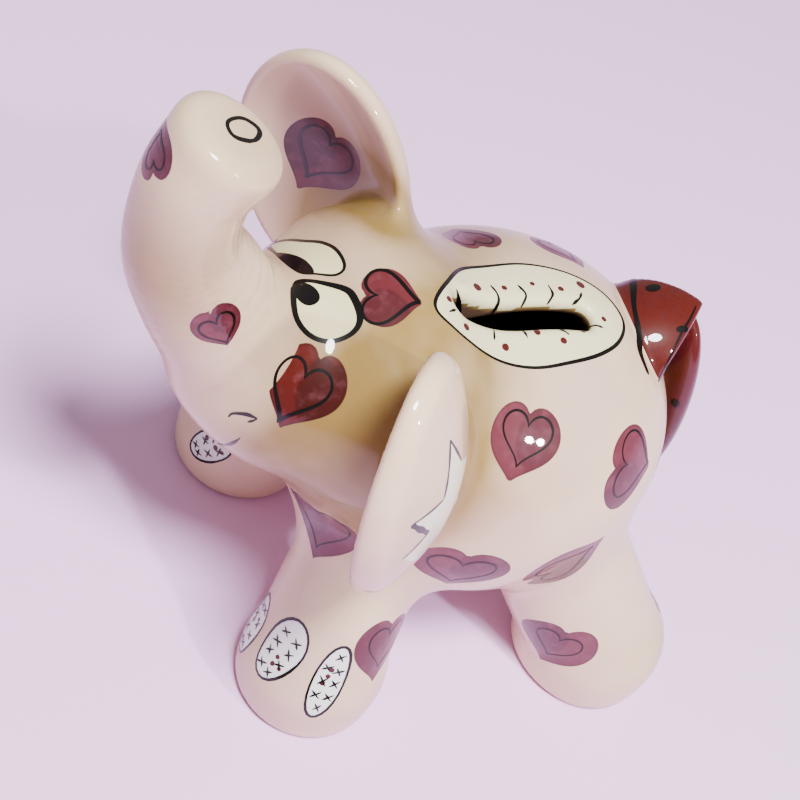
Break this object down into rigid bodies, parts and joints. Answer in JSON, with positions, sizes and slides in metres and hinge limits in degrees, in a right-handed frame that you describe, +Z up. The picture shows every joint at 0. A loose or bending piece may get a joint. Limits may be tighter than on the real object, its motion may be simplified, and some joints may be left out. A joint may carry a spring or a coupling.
{
  "type": "piggy bank",
  "caption": "Elephant-shaped ceramic money bank with a coin slot in its back, raised trunk, cupped ears, hanging tail and a rubber stopper under the belly.",
  "frame": {"origin": "middle of the bounding box, on the surface that the feet stand on", "axes": "+Z up, the elephant faces -Y, its left side is +X"},
  "size_m": [0.1226, 0.158, 0.1595],
  "materials": {
    "glazed_earthenware": "clear gloss glaze over pale slip with painted hearts",
    "painted_tail": "clear gloss glaze over maroon underglaze",
    "stopper_rubber": "moulded soft matt"
  },
  "bodies": {
    "bank": {"torso": "glazed_earthenware", "head": "glazed_earthenware", "trunk": "glazed_earthenware", "ear_left": "glazed_earthenware", "ear_right": "glazed_earthenware", "tail": "painted_tail", "leg_front_left": "glazed_earthenware", "leg_front_right": "glazed_earthenware", "leg_rear_left": "glazed_earthenware", "leg_rear_right": "glazed_earthenware"},
    "stopper": {"stopper": "stopper_rubber"}
  },
  "joints": [
    {"name": "stopper_pull", "type": "slide", "parent": "bank", "child": "stopper", "axis": [0, 0, -1], "range_m": [0, 0.016]}
  ]
}
